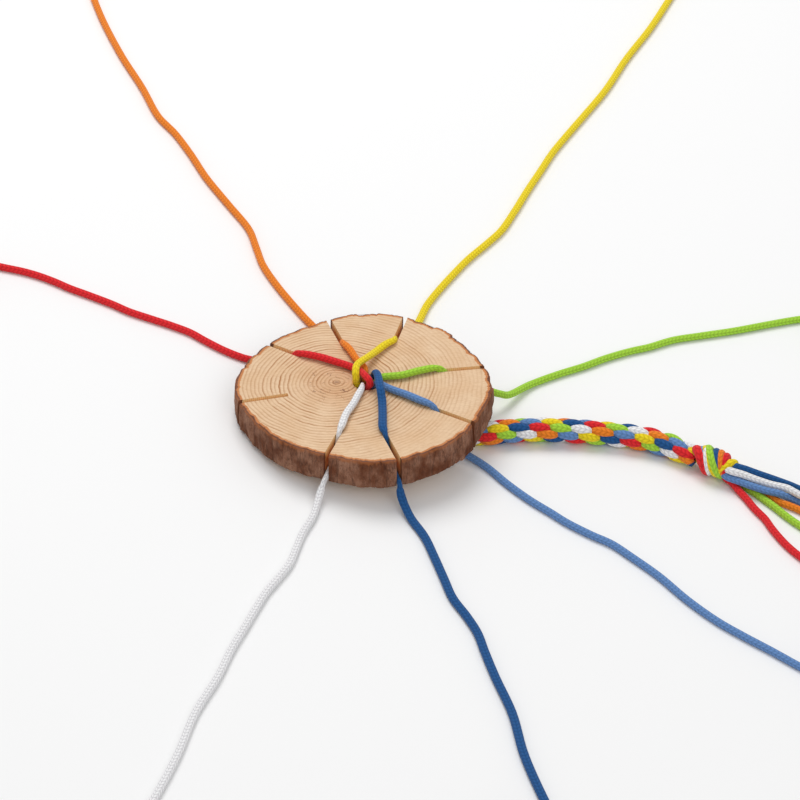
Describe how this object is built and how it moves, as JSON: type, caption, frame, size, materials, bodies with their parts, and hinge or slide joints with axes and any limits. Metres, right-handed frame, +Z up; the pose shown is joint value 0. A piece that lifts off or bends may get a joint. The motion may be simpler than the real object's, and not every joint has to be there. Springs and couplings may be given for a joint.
{
  "type": "braiding disc",
  "caption": "Natural wood slice with bark, a central hole and saw slots in its rim, holding cotton cords that are being plaited into a round braid which comes out underneath and ends in a knot.",
  "frame": {"origin": "on the floor under the middle of the wooden disc", "axes": "+Z up from the floor, +X towards the side where the braid comes out, +Y away from the viewer"},
  "size_m": [0.4344, 0.6663, 0.0255],
  "materials": {
    "wood": "sawn and sanded, with natural bark",
    "cord_orange": "plaited cotton",
    "cord_yellow": "plaited cotton",
    "cord_green": "plaited cotton",
    "cord_light_blue": "plaited cotton",
    "cord_dark_blue": "plaited cotton",
    "cord_white": "plaited cotton",
    "cord_red": "plaited cotton",
    "braid_cotton": "round braid of the seven cords"
  },
  "bodies": {
    "root": {"wood_disc": "wood", "cord_orange": "cord_orange", "cord_yellow": "cord_yellow", "cord_green": "cord_green", "cord_light_blue": "cord_light_blue", "cord_dark_blue": "cord_dark_blue", "cord_white": "cord_white", "cord_red": "cord_red", "coil_orange": "cord_orange", "coil_yellow": "cord_yellow", "coil_green": "cord_green", "coil_light_blue": "cord_light_blue", "coil_dark_blue": "cord_dark_blue", "coil_white": "cord_white", "coil_red": "cord_red", "braid": "braid_cotton", "knot": "braid_cotton", "tail_orange": "cord_orange", "tail_yellow": "cord_yellow", "tail_green": "cord_green", "tail_light_blue": "cord_light_blue", "tail_dark_blue": "cord_dark_blue", "tail_white": "cord_white", "tail_red": "cord_red"}
  },
  "joints": []
}
